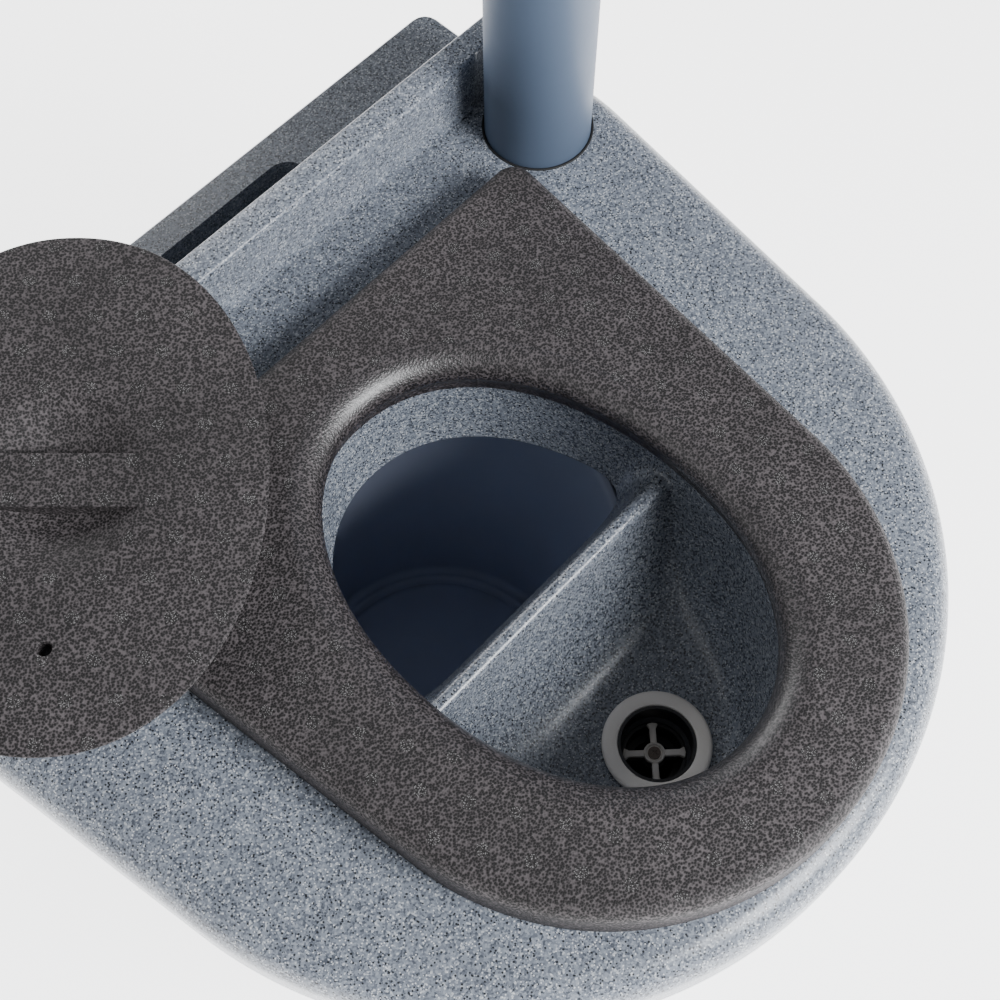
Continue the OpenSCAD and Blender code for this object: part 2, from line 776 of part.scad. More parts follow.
module bowl_elbow() color([0.47, 0.55, 0.66]) {
    difference() {
        bowl_bend(drain_r + over);
        bowl_bend(drain_r - drain_wall);
    }
    at_drain(tail_foot - over) pipe_socket(socket_in + over);
    along_cross(cross_start - over) pipe_socket(socket_in + over);
}

// The quarter bend from straight down under the bowl to level along +X
module bowl_bend(r) {
    translate([bend_r, drain_y, drain_h + bend_r]) rotate([90, 0, 0]) rotate([0, 0, 180])
        rotate_extrude(angle = 90) translate([bend_r, 0]) circle(r);
}

module along_cross(x) translate([x, drain_y, drain_h]) rotate([0, 90, 0]) children();

module tail_seal() color([0.07, 0.07, 0.08]) at_drain(elbow_top - seal_lip - seal_h) socket_seal();

cross_start = bend_r;
cross_end = drain_x - bend_r;

module cross_pipe() color([0.47, 0.55, 0.66]) {
    translate([cross_start, drain_y, drain_h]) rotate([0, 90, 0])
        tube(drain_r, drain_r - drain_wall, cross_end - cross_start);
}

module corner_elbow() color([0.47, 0.55, 0.66]) {
    difference() {
        corner_bend(drain_r + over);
        corner_bend(drain_r - drain_wall);
    }
    against_cross(cross_end + over) pipe_socket(socket_in + over);
    along_back(side_start - over) pipe_socket(socket_in + over);
}

// The level quarter bend from along +X to along +Y
module corner_bend(r) {
    translate([cross_end, side_start, drain_h]) rotate([0, 0, -90])
        rotate_extrude(angle = 90) translate([bend_r, 0]) circle(r);
}

module against_cross(x) translate([x, drain_y, drain_h]) rotate([0, -90, 0]) children();

module side_pipe() color([0.47, 0.55, 0.66]) {
    translate([drain_x, side_start, drain_h]) rotate([-90, 0, 0])
        tube(drain_r, drain_r - drain_wall, side_end - side_start);
}

module pipe_coupler() color([0.47, 0.55, 0.66]) {
    difference() {
        along_back(side_end - socket_in) cylinder(h = 2 * socket_in, r = drain_r + pipe_socket_t);
        along_back(side_end - socket_in - over) cylinder(h = 2 * socket_in + 2 * over, r = drain_r + slack);
        for (y = [-1, 1]) along_back(side_end + y * coupler_seal - seal_h / 2)
            cylinder(h = seal_h, r = drain_r + seal_t);
    }
}

coupler_seal = socket_in - seal_lip - seal_h / 2;

module pipe_seals() color([0.07, 0.07, 0.08]) {
    at_mouth = socket_in - seal_lip - seal_h;
    along_cross(cross_start + at_mouth) socket_seal();
    against_cross(cross_end - at_mouth) socket_seal();
    along_back(side_start + at_mouth) socket_seal();
    for (y = [-1, 1]) along_back(side_end + y * coupler_seal - seal_h / 2) socket_seal();
}

// OUTLET: a flanged spigot through the back wall, held by a nut inside

outlet_flange_r = 27;
outlet_flange_t = 4;
boss_face = wall_back_y + boss_t;
boss_inner = boss_face - 2.5 * boss_t;

module along_back(y) translate([drain_x, y, drain_h]) rotate([-90, 0, 0]) children();

module outlet_spigot() color([0.12, 0.12, 0.13]) {
    difference() {
        union() {
            along_back(side_end) cylinder(h = boss_face + outlet_l - side_end, r = drain_r);
            along_back(boss_face + gasket_t) cylinder(h = outlet_flange_t, r = outlet_flange_r);
        }
        along_back(side_end - over) cylinder(h = body_depth, r = drain_r - drain_wall);
    }
}

module outlet_gasket() color([0.07, 0.07, 0.08]) along_back(boss_face)
    tube(outlet_flange_r - over, drain_r + slip, gasket_t);

module outlet_nut() color([0.12, 0.12, 0.13]) {
    along_back(boss_inner - nut_l / 2) difference() {
        cylinder(h = nut_l / 2, r = nut_r + over, $fn = nut_sides);
        translate([0, 0, -over]) cylinder(h = nut_l, r = drain_r + slip);
    }
}

// CLIPS: open rings that hold the long pipe on the casing's pillars

clip_w = 14;
clip_screw_l = 14;
clip_open = 100;

module pipe_clips() color([0.20, 0.22, 0.25]) for (y = clip_at) translate([drain_x, y, 0]) {
    difference() {
        union() {
            translate([0, clip_w / 2, drain_h]) rotate([90, 0, 0])
                cylinder(h = clip_w, r = drain_r + slip + clip_t);
            translate([0, 0, clip_h]) cylinder(h = clip_base_t + over, r = pillar_r - over);
        }
        translate([0, clip_w, drain_h]) rotate([90, 0, 0]) cylinder(h = 2 * clip_w, r = drain_r + slip);
        translate([0, clip_w, drain_h]) rotate([90, 0, 0]) linear_extrude(2 * clip_w)
            polygon(2 * nut_r * [
                [0, 0], [sin(clip_open / 2), cos(clip_open / 2)], [-sin(clip_open / 2), cos(clip_open / 2)]
            ]);
        translate([0, 0, clip_h - over]) cylinder(h = clip_base_t + 2 * over, r = screw_r);
        translate([0, 0, clip_h + clip_base_t / 2]) cylinder(h = clip_base_t, r = screw_head_r + slack);
    }
}

module clip_screws() color([0.60, 0.60, 0.61]) for (y = clip_at) translate([drain_x, y, clip_h + clip_base_t / 2]) {
    cylinder(h = clip_base_t / 2 - slack, r = screw_head_r);
    translate([0, 0, -clip_screw_l]) cylinder(h = clip_screw_l + slack, r = screw_r);
}

// BUCKET: a tapered pail with a raised middle in its bottom, and its wire bail

bucket_foot = floor_t;
ear_r = 9;
ear_l = 12;
ear_drop = 22;
bucket_step_h = 5;
ear_h = bucket_foot + bucket_h - ear_drop;
bail_pivot_x = bucket_top_r + ear_l + bail_r;
bail_arm_r = bail_pivot_x;

module bucket() color([0.30, 0.35, 0.44]) translate([0, bucket_y, 0]) {
    difference() {
        union() {
            translate([0, 0, bucket_foot]) cylinder(h = bucket_h, r1 = bucket_foot_r, r2 = bucket_top_r);
            translate([0, 0, bucket_foot + bucket_h - rim_r]) rotate_extrude()
                translate([bucket_top_r, 0]) circle(rim_r);
            for (side = [-1, 1]) translate([side * (bucket_top_r - 2 * over), 0, ear_h]) rotate([0, side * 90, 0])
                cylinder(h = ear_l + over, r = ear_r);
        }
        translate([0, 0, bucket_foot + bucket_wall])
            cylinder(h = bucket_h + rim_r, r1 = bucket_foot_r - bucket_wall, r2 = bucket_top_r - bucket_wall);
        for (side = [-1, 1]) translate([side * (bucket_top_r + over), 0, ear_h]) rotate([0, side * 90, 0])
            cylinder(h = ear_l + over, r = bail_r + slip);
    }
    translate([0, 0, bucket_foot + over]) cylinder(h = bucket_wall + bucket_step_h - over, r = bucket_step_r);
}

module on_bail() translate([0, bucket_y, ear_h]) rotate([-bail_hang, 0, 0]) children();

module bail() color([0.62, 0.63, 0.65]) on_bail() {
    rotate_extrude(angle = 180) translate([bail_arm_r, 0]) circle(bail_r, $fn = 32);
    for (side = [-1, 1]) translate([side * (bail_arm_r + bail_r), 0, 0]) rotate([0, -side * 90, 0])
        cylinder(h = ear_l + bail_r, r = bail_r, $fn = 32);
}

grip_span = 36;

module bail_grip() color([0.12, 0.12, 0.13]) on_bail() {
    rotate([0, 0, 90 - grip_span / 2]) difference() {
        rotate_extrude(angle = grip_span) translate([bail_arm_r, 0]) circle(grip_r, $fn = 48);
        rotate([0, 0, -over]) rotate_extrude(angle = grip_span + 2 * over)
            translate([bail_arm_r, 0]) circle(bail_r + slip, $fn = 32);
    }
}

casing();
top_cover();
seat();
lid();
vent_pipe();
vent_pipe_grommet();
vent_socket_seal();
drain_flange();
flange_gasket();
strainer_cup();
cup_gasket();
drain_grate();
grate_screw();
tail_pipe();
tail_nut();
tail_washer();
bowl_elbow();
tail_seal();
cross_pipe();
corner_elbow();
side_pipe();
pipe_coupler();
pipe_seals();
outlet_spigot();
outlet_gasket();
outlet_nut();
pipe_clips();
clip_screws();
bucket();
bail();
bail_grip();
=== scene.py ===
import bmesh, bpy
from math import acos, asin, atan2, copysign, cos, pi, radians, sin, sqrt
from mathutils import Matrix, Vector


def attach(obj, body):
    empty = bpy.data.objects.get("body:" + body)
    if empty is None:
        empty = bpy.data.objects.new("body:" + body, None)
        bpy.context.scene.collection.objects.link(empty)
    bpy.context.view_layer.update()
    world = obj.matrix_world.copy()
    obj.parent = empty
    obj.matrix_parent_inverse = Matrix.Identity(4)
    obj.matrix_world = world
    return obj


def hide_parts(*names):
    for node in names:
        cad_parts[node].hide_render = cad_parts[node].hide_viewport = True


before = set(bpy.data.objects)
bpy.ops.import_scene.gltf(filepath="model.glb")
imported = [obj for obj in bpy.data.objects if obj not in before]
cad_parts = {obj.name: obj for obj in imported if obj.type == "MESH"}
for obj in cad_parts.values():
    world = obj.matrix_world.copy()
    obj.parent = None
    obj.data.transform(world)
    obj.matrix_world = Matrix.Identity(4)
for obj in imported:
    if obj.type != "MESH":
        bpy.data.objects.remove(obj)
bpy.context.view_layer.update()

# CAMERA: the photograph looks down on the toilet from its front left, over
# the lid that lies aside. The frame shows the cover whole, with the pipe and
# the lid running out of it.
photo_pixels, focal_pixels, film_width = 1000, 1550, 36
look_down, look_round, look_roll = radians(64), radians(-46.5), radians(-0.3)
look_from = Vector((-0.2839, -0.3190, 1.3004))

ahead = Vector((-sin(look_round) * cos(look_down), cos(look_round) * cos(look_down), -sin(look_down)))
level = Vector((cos(look_round), sin(look_round), 0))
upward = level.cross(ahead)
across = level * cos(look_roll) + upward * sin(look_roll)
upward = upward * cos(look_roll) - level * sin(look_roll)
lens = bpy.data.cameras.new("camera")
lens.sensor_fit = "HORIZONTAL"
lens.sensor_width = film_width
lens.lens = film_width * focal_pixels / photo_pixels
lens.clip_end = 50
camera = bpy.data.objects.new("camera", lens)
camera.matrix_world = Matrix((
    (across.x, upward.x, -ahead.x, look_from.x),
    (across.y, upward.y, -ahead.y, look_from.y),
    (across.z, upward.z, -ahead.z, look_from.z),
    (0, 0, 0, 1)))
bpy.context.collection.objects.link(camera)
bpy.context.scene.camera = camera


# MATERIALS are written as sums: a Shade is one socket of a node, and a Finish
# is one material with the methods that add its nodes.
class Shade:
    def __init__(self, finish, socket):
        self.finish, self.socket = finish, socket

    def math(self, operation, *values):
        return self.finish.node("ShaderNodeMath", {"operation": operation}, dict(enumerate(values)))

    def __add__(self, other):
        return self.math("ADD", self, other)

    def __radd__(self, other):
        return self.math("ADD", other, self)

    def __sub__(self, other):
        return self.math("SUBTRACT", self, other)

    def __rsub__(self, other):
        return self.math("SUBTRACT", other, self)

    def __mul__(self, other):
        return self.math("MULTIPLY", self, other)

    def __rmul__(self, other):
        return self.math("MULTIPLY", other, self)

    def __truediv__(self, other):
        return self.math("DIVIDE", self, other)

    def __gt__(self, other):
        return self.math("GREATER_THAN", self, other)

    def __lt__(self, other):
        return self.math("LESS_THAN", self, other)

    def floor(self):
        return self.math("FLOOR", self)


class Finish:
    def __init__(self, name, colour, roughness, **constants):
        self.material = bpy.data.materials.new(name)
        self.material.use_nodes = True
        self.tree = self.material.node_tree
        self.shader = self.tree.nodes["Principled BSDF"]
        self.set("Base Color", (*colour, 1))
        self.set("Roughness", roughness)
        for socket, value in constants.items():
            self.set(socket.replace("_", " "), value)

    def set(self, socket, value):
        if isinstance(value, Shade):
            self.tree.links.new(value.socket, self.shader.inputs[socket])
        else:
            self.shader.inputs[socket].default_value = value

    def node(self, kind, settings=None, sockets=None, out=0):
        """Adds a node: first its settings or its ramp's stops, then its sockets' values or links."""
        node = self.tree.nodes.new(kind)
        for name, value in (settings or {}).items():
            if name == "stops":
                stops = node.color_ramp.elements
                while len(stops) < len(value):
                    stops.new(0.5)
                for stop, (place, shade) in zip(stops, value):
                    stop.position = place
                    stop.color = (shade, shade, shade, 1) if isinstance(shade, float) else (*shade, 1)
            elif name == "interpolation":
                node.color_ramp.interpolation = value
            else:
                setattr(node, name, value)
        for name, value in (sockets or {}).items():
            if isinstance(value, Shade):
                self.tree.links.new(value.socket, node.inputs[name])
            else:
                node.inputs[name].default_value = value
        return Shade(self, node.outputs[out])

    def place(self, laid=None):
        """The object's own coordinates, or those of a piece that a matrix laid aside."""
        if laid is None:
            return self.node("ShaderNodeTexCoord", out="Object")
        back = laid.inverted()
        return self.node("ShaderNodeMapping", {}, {
            "Vector": self.place(), "Location": back.translation, "Rotation": back.to_euler()})

    def axes(self, where):
        first = self.node("ShaderNodeSeparateXYZ", {}, {0: where})
        return [Shade(self, socket) for socket in first.socket.node.outputs]

    def noise(self, scale, detail=2.0, where=None):
        return self.node("ShaderNodeTexNoise", {}, {
            "Vector": where or self.place(), "Scale": scale, "Detail": detail})

    def cells(self, scale, where=None, out="Distance"):
        return self.node("ShaderNodeTexVoronoi", {}, {"Vector": where or self.place(), "Scale": scale}, out)

    def cell_value(self, scale, where=None):
        return self.node("ShaderNodeSeparateColor", {}, {0: self.cells(scale, where, "Color")})

    def ramp(self, value, stops, interpolation="LINEAR"):
        return self.node("ShaderNodeValToRGB", {"stops": stops, "interpolation": interpolation}, {0: value})

    def mix(self, factor, first, second, blend="MIX"):
        first, second = [c if isinstance(c, Shade) else (*c, 1) for c in (first, second)]
        return self.node("ShaderNodeMix", {"data_type": "RGBA", "blend_type": blend},
                         {0: factor, 6: first, 7: second}, 2)

    def mottled(self, scale, detail, first, second):
        """Lets the colour drift between two near shades, as moulded plastic does."""
        self.set("Base Color", self.mix(self.noise(scale, detail), first, second))

    def rubbed(self, scale, detail, spread, least):
        """Lets the roughness drift upwards from its least value."""
        self.set("Roughness", least + spread * self.noise(scale, detail))

    def bump(self, height, distance, strength):
        self.set("Normal", self.node("ShaderNodeBump", {}, {
            "Height": height, "Distance": distance, "Strength": strength}))


# FLOOR AND LIGHT: a pale studio floor that glows like a light table, a wide
# key from the front, a weak fill from the left, and a small lamp behind,
# whose light reaches the ledge past the ridge.
floor_finish = Finish("studio_floor", (0.93, 0.93, 0.935), 0.9)
floor_finish.bump(floor_finish.noise(40.0), 0.0005, 0.1)
floor_finish.set("Emission Color", (1, 1, 1, 1))
floor_finish.set("Emission Strength", 3.2)
sheet = bmesh.new()
bmesh.ops.create_grid(sheet, x_segments=1, y_segments=1, size=12)
floor_mesh = bpy.data.meshes.new("floor")
sheet.to_mesh(floor_mesh)
sheet.free()
floor = bpy.data.objects.new("floor", floor_mesh)
floor_mesh.materials.append(floor_finish.material)
bpy.context.collection.objects.link(floor)


def lamp(name, place, target, size, power, colour=(1, 1, 1)):
    light = bpy.data.lights.new(name, "AREA")
    light.shape, light.size, light.energy, light.color = "SQUARE", size, power, colour
    holder = bpy.data.objects.new(name, light)
    turn = (Vector(target) - Vector(place)).to_track_quat("-Z", "Y").to_matrix().to_4x4()
    holder.matrix_world = Matrix.Translation(place) @ turn
    bpy.context.collection.objects.link(holder)


lamp("key", (0.42, -2.05, 2.00), (0, 0, 0.4), 1.2, 112, (0.97, 0.985, 1.0))
lamp("fill", (-2.4, 0.8, 2.0), (0, 0, 0.4), 2.0, 7)
lamp("back", (0.35, 1.30, 1.20), (0, 0.28, 0.4), 0.6, 7)
world = bpy.data.worlds.new("studio")
world.use_nodes = True
world.node_tree.nodes["Background"].inputs[0].default_value = (0.93, 0.95, 1, 1)
world.node_tree.nodes["Background"].inputs[1].default_value = 0.22
bpy.context.scene.world = world


# CASING: the tapered outer body, rotationally moulded in one piece with its
# floor, ledge, lid slot and neck, in plastic that looks like granite.
def granite(name, roughness, shade=1.0):
    """Crumbs of six greys with dark chips and pale sparks; a shade below 1 makes a darker copy with painted
    shade.
    """
    finish = Finish(name, (0.3, 0.33, 0.38), roughness, Coat_Weight=0.35, Coat_Roughness=0.22)
    grain = finish.cell_value(900.0)
    ground = finish.ramp(grain, [
        (0.0, (0.085, 0.097, 0.122)), (0.12, (0.140, 0.158, 0.195)), (0.28, (0.190, 0.214, 0.258)),
        (0.50, (0.250, 0.280, 0.330)), (0.76, (0.320, 0.352, 0.405)), (0.93, (0.52, 0.55, 0.59))], "CONSTANT")
    # Random clouding of the tone, times shade: below 1 this darkens the whole granite as painted shade
    cloud_and_shade = (finish.noise(16.0, 3.0) * 0.35 + 0.82) * shade
    clouded_and_shaded = finish.mix(1.0, ground, cloud_and_shade, "MULTIPLY")
    chips = (finish.cells(430.0) < 0.28) * (finish.cell_value(430.0) > 0.36)
    speckled = finish.mix(chips, clouded_and_shaded, (0.012, 0.014, 0.018))
    sparks = (finish.cells(560.0) < 0.26) * (finish.cell_value(560.0) > 0.60)
    finish.set("Base Color", finish.mix(sparks, speckled, (0.75 * shade, 0.77 * shade, 0.80 * shade)))
    finish.set("Roughness", grain * 0.12 + (roughness - 0.06))
    finish.bump(finish.noise(900.0, 1.0), 0.0002, 0.25)
    return finish


def copy_of(node):
    """A merged copy of a node's mesh, whose own triangles are loose."""
    shape = bmesh.new()
    shape.from_mesh(bpy.data.objects[node].data)
    bmesh.ops.remove_doubles(shape, verts=shape.verts, dist=0.00002)
    return shape


def build(name, shape):
    mesh = bpy.data.meshes.new(name)
    shape.to_mesh(mesh)
    shape.free()
    piece = bpy.data.objects.new(name, mesh)
    bpy.context.collection.objects.link(piece)
    return piece


def show(piece, finish, *nodes, body=None, slot=None, sharp=30):
    mesh = piece.data
    mesh.materials.clear()
    mesh.materials.append(finish.material)
    for face in mesh.polygons:
        face.use_smooth = True
    mesh.set_sharp_from_angle(angle=radians(sharp))
    if body:
        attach(piece, body)
    if nodes:
        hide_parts(*nodes)


flat_turn, wall_turn, wall_area = radians(0.4), radians(0.6), 0.0006
shell = copy_of("casing")
bmesh.ops.dissolve_limit(shell, angle_limit=flat_turn, verts=shell.verts, edges=shell.edges)
casing = build("casing_body", shell)
# The casing's granite is a darker copy at shade 0.68: painted shade for the ledge that lies in the ridge's
# shadow
show(casing, granite("casing_granite_painted_shade", 0.46, 0.68), "casing", body="casing", slot="granite_casing")
# Large flat walls keep a straight shading up to the roundings beside them
faces_at = {}
for face in casing.data.polygons:
    for key in face.edge_keys:
        faces_at.setdefault(key, []).append(face)
for edge in casing.data.edges:
    beside = faces_at[edge.key]
    large = max(face.area for face in beside) > wall_area
    if large and beside[0].normal.angle(beside[-1].normal) > wall_turn:
        edge.use_edge_sharp = True


# WASTE PIPES: grey-blue push-fit drain pipes, elbows and coupler that carry
# the urine from under the bowl to the black spigot in the back wall.
def dress(finish, *nodes):
    for node in nodes:
        for holder in bpy.data.objects[node].material_slots:
            holder.material = finish.material


pipe_plastic = Finish("waste_pipe_plastic", (0.16, 0.22, 0.32), 0.38)
pipe_plastic.mottled(60.0, 4.0, (0.14, 0.20, 0.29), (0.19, 0.25, 0.35))
pipe_plastic.bump(pipe_plastic.noise(400.0), 0.0002, 0.2)
dress(pipe_plastic, "tail_pipe", "bowl_elbow", "cross_pipe", "corner_elbow", "side_pipe", "pipe_coupler")

# BLACK FITTINGS: the nuts, the spigot, the strainer cup in the bowl and the
# grip on the bucket's bail, each moulded in hard black plastic.
black_plastic = Finish("black_plastic", (0.02, 0.02, 0.022), 0.42)
black_plastic.rubbed(120.0, 3.0, 0.2, 0.32)
black_plastic.bump(black_plastic.noise(700.0), 0.0002, 0.3)
dress(black_plastic, "tail_nut", "outlet_spigot", "outlet_nut", "bail_grip", "strainer_cup")

# CLIPS: dark grey moulded plastic clips, screwed to the casing, that hold the
# long waste pipe.
clip_plastic = Finish("clip_plastic", (0.06, 0.065, 0.08), 0.5)
clip_plastic.bump(clip_plastic.noise(500.0), 0.0002, 0.3)
dress(clip_plastic, "pipe_clips")

# SEALS: black rubber gaskets, washer and lip seals, pressed into the joints
# of the pipes, the flange and the cup.
rubber = Finish("seal_rubber", (0.012, 0.012, 0.013), 0.7)
rubber.rubbed(200.0, 3.0, 0.25, 0.55)
rubber.bump(rubber.noise(900.0), 0.0002, 0.3)
dress(rubber, "vent_socket_seal", "flange_gasket", "cup_gasket", "tail_washer", "tail_seal", "pipe_seals",
      "outlet_gasket")

# BAIL AND CLIP SCREWS: bright steel wire, bent round under the bucket's rim,
# and the small steel screws that hold the clips.
steel = Finish("screw_steel", (0.55, 0.55, 0.56), 0.28, Metallic=1.0)
steel.rubbed(300.0, 3.0, 0.2, 0.2)
dress(steel, "clip_screws", "bail")


# BUCKET: a blow-moulded blue-grey pail with a rolled rim, two ears for its
# bail and a raised round middle in its bottom with moulded rings.
def turned(shape, profile, centre, steps=96):
    """Spins a chain of (radius, height) points in millimetres round an upright axis."""
    chain = [shape.verts.new((radius / 1000, 0, height / 1000)) for radius, height in profile]
    edges = [shape.edges.new(pair) for pair in zip(chain, chain[1:])]
    bmesh.ops.spin(shape, geom=chain + edges, cent=(0, 0, 0), axis=(0, 0, 1), angle=2 * pi, steps=steps,
                   use_merge=True)
    bmesh.ops.remove_doubles(shape, verts=shape.verts, dist=0.00001)
    bmesh.ops.translate(shape, verts=shape.verts, vec=centre)
    bmesh.ops.recalc_face_normals(shape, faces=shape.faces)


def rounded(shape, edges, offset, segments):
    bmesh.ops.bevel(shape, geom=edges, offset=offset, segments=segments, profile=0.5, affect="EDGES",
                    material=-1)


bucket_plastic = Finish("bucket_plastic", (0.42, 0.48, 0.60), 0.34)
bucket_plastic.mottled(9.0, 3.0, (0.38, 0.43, 0.56), (0.46, 0.51, 0.64))
bucket_plastic.rubbed(45.0, 4.0, 0.18, 0.27)
bucket_plastic.bump(bucket_plastic.noise(160.0, 3.0), 0.0003, 0.25)
bucket_y, ear_reach, ear_height = 0.026, 0.144, 0.294
pail = bmesh.new()
turned(pail, [
    (0, 16), (96, 16), (99.5, 15.6), (100.8, 14), (101.2, 12.2), (104, 11.4), (107, 11.4), (108, 12.2),
    (110, 12.2), (111, 11.4), (114, 11.3), (117, 12.4), (119.3, 16), (136.0, 306), (137.2, 311),
    (139.2, 314.6), (142, 316), (144.4, 314.8), (145.4, 312), (145.0, 308.5), (143.2, 306.6),
    (140.6, 306.2), (139.4, 303), (138.6, 290), (122.6, 12), (121, 9), (118, 8), (0, 8)], (0, bucket_y, 0))
for side in (-1, 1):
    outwards = Matrix.Rotation(side * pi / 2, 4, "Y")
    at_ear = Matrix.Translation((side * ear_reach, bucket_y, ear_height)) @ outwards
    ear = bmesh.ops.create_cone(pail, cap_ends=True, segments=40, radius1=0.0095, radius2=0.009,
                                depth=0.014, matrix=at_ear)["verts"]
    ear_edges = {edge for vert in ear for edge in vert.link_edges}
    rims = [edge for edge in ear_edges if any(len(face.verts) > 4 for face in edge.link_faces)]
    rounded(pail, rims, 0.0012, 3)
show(build("bucket_pail", pail), bucket_plastic, "bucket", body="bucket", slot="bucket_plastic", sharp=50)


# COVER: one rotationally moulded piece in granite-look plastic. Its deck has
# a rolled edge, a ridge stands along its back with a hollow for the vent
# pipe, and the well drops from it to the urine bowl and the chute.
def trace(shape, outline, z):
    """Joins arcs and corners by lines: an arc is x, y, radius, start, stop and steps, a corner x and y."""
    known = set(shape.edges)
    tip = None
    for x, y, *arc in outline:
        radius, start, stop, steps = arc or (0, 0, 0, 0)
        begin = Vector((x + radius * cos(start), y + radius * sin(start), z))
        if tip is None:
            tip = first = shape.verts.new(begin)
        else:
            tip = bmesh.ops.extrude_vert_indiv(shape, verts=[tip])["verts"][0]
            tip.co = begin
        if radius:
            swept = bmesh.ops.spin(shape, geom=[tip], cent=(x, y, z), axis=(0, 0, 1), angle=stop - start,
                                   steps=steps)
            tip = swept["geom_last"][0]
    return first, tip, [edge for edge in shape.edges if edge not in known]


def mirrored(shape, outline, z):
    """Draws the right half of a closed outline from its front to its back, and mirrors it."""
    known = set(shape.edges)
    _, y, radius, _, stop, _ = outline[-1]
    half = trace(shape, outline + [(0, y + radius * sin(stop))], z)[2]
    points = list({vert for edge in half for vert in edge.verts})
    bmesh.ops.mirror(shape, geom=half + points, axis="X", merge_dist=0.00001)
    return [edge for edge in shape.edges if edge not in known]


half_width, cover_front, cover_back, deck, skirt_foot = 0.312, -0.325, 0.218, 0.435, 0.3853
front_radius, side_radius, corner_radius, roll_radius = 0.285, 0.150, 0.014, 0.022
flare = radians(7.9)
side_x = half_width - side_radius
radius_change = front_radius - side_radius - sin(flare) * (cover_front + front_radius)
side_y = (cos(flare) * side_x - radius_change) / sin(flare)


def body_outline(shape, inset, z):
    corner = max(corner_radius - inset, corner_radius / 2)
    return mirrored(shape, [
        (0, cover_front + front_radius, front_radius - inset, -pi / 2, -flare, 64),
        (side_x, side_y, side_radius - inset, -flare, 0, 6),
        (half_width - inset - corner, cover_back - inset - corner, corner, 0, pi / 2, 8)], z)


def oval(shape, half_w, half_l, y, z, count=128, half_step=False):
    """Draws a ring that is a little fuller than an ellipse."""
    fullness = 2 / 2.1
    ring = bmesh.ops.create_circle(shape, segments=count, radius=1)["verts"]
    for vert in ring:
        turn = atan2(vert.co.y, vert.co.x) + (pi / count if half_step else 0)
        vert.co = (half_w * copysign(abs(cos(turn)) ** fullness, cos(turn)),
                   y + half_l * copysign(abs(sin(turn)) ** fullness, sin(turn)), z)
    return list({edge for vert in ring for edge in vert.link_edges})


def quarter_round(reach, drop, degrees):
    """The steps of a rounded edge: how far each lies inwards, and how far below the top."""
    return [(reach * (1 - cos(radians(turn))), drop * (1 - sin(radians(turn)))) for turn in degrees]


def skin(shape, rings):
    for lower, higher in zip(rings, rings[1:]):
        bmesh.ops.bridge_loops(shape, edges=lower + higher)


def fill_between(shape, outer, inner):
    bmesh.ops.triangle_fill(shape, use_beauty=True, use_dissolve=False, edges=outer + inner, normal=(0, 0, 1))


# The deck is a closed shell: its rolled edge, its flat top, the brim of the
# well and its underside. Rings that lie level are a hair apart in height.
well_y, well_half_w, well_half_l, brim_radius, hair = -0.087, 0.118, 0.166, 0.006, 0.0003
under_deck = deck - 0.005
cover = bmesh.new()
outside = [body_outline(cover, 0.0008, skirt_foot), body_outline(cover, 0, skirt_foot + 0.001)]
for inset, drop in quarter_round(roll_radius, roll_radius, range(0, 90, 9)):
    outside.append(body_outline(cover, inset, deck - drop))
outside.append(body_outline(cover, roll_radius + 0.004, deck))
skin(cover, outside)
brim = []
for reach, drop in quarter_round(brim_radius, brim_radius, range(90, -1, -15)):
    brim.append(oval(cover, well_half_w + reach, well_half_l + reach, well_y, deck - drop))
for reach, level in ((0.0001, deck - brim_radius - 0.0015), (0.0065, under_deck - hair)):
    brim.append(oval(cover, well_half_w + reach, well_half_l + reach, well_y, level))
skin(cover, brim)
fill_between(cover, outside[-1], brim[0])
inside = [outside[0]]
for inset, level in ((0.010, skirt_foot + hair), (0.010, 0.413), (0.014, 0.424),
                     (0.024, under_deck - hair), (0.028, under_deck)):
    inside.append(body_outline(cover, inset, level))
skin(cover, inside)
fill_between(cover, inside[-1], brim[-1])
bmesh.ops.recalc_face_normals(cover, faces=cover.faces)


def pulled(shape, outline, z, vec):
    """Closes and fills an outline and pulls it along vec into a solid."""
    begin, end, rim = trace(shape, outline, z)
    rim.append(shape.edges.new((end, begin)))
    face = bmesh.ops.contextual_create(shape, geom=rim)["faces"]
    grown = bmesh.ops.extrude_face_region(shape, geom=face)["geom"]
    ends = [item for item in grown if isinstance(item, bmesh.types.BMVert)]
    bmesh.ops.translate(shape, verts=ends, vec=vec)


# The ridge stands on the deck's back edge with a small cove at its foot. A
# shallow hollow in its front makes room for the pipe.
ridge_front, ridge_top, ridge_foot, ridge_edge, hollow_edge = 0.196, 0.487, 0.414, 0.003, 0.004
pipe_x, pipe_y, hollow_radius, near = 0.254, 0.153, 0.047, 0.0001
hollow_start = pi - asin((ridge_front - pipe_y) / hollow_radius)
hollow_half = -hollow_radius * cos(hollow_start)
ridge = bmesh.new()
pulled(ridge, [
    (-half_width, ridge_front),
    (pipe_x, pipe_y, hollow_radius, hollow_start, pi - hollow_start, 12),
    (half_width, ridge_front),
    (half_width - corner_radius / 2, cover_back - corner_radius / 2, corner_radius / 2, 0, pi / 2, 8),
    (corner_radius - half_width, cover_back - corner_radius, corner_radius, pi / 2, pi, 8)],
    ridge_foot, (0, 0, ridge_top - ridge_foot))
bmesh.ops.recalc_face_normals(ridge, faces=ridge.faces)
upright = [edge for edge in ridge.edges if all(
    abs(abs(vert.co.x - pipe_x) - hollow_half) < near and abs(vert.co.y - ridge_front) < near
    for vert in edge.verts)]
rounded(ridge, upright, hollow_edge, 5)
rounded(ridge, [edge for edge in ridge.edges if all(vert.co.z > ridge_top - 0.001 for vert in edge.verts)],
        ridge_edge, 5)
cove_radius, cove_toe, cove_foot, cove_start = 0.003, 0.002, 0.001, 0.005 - half_width
cove = bmesh.new()
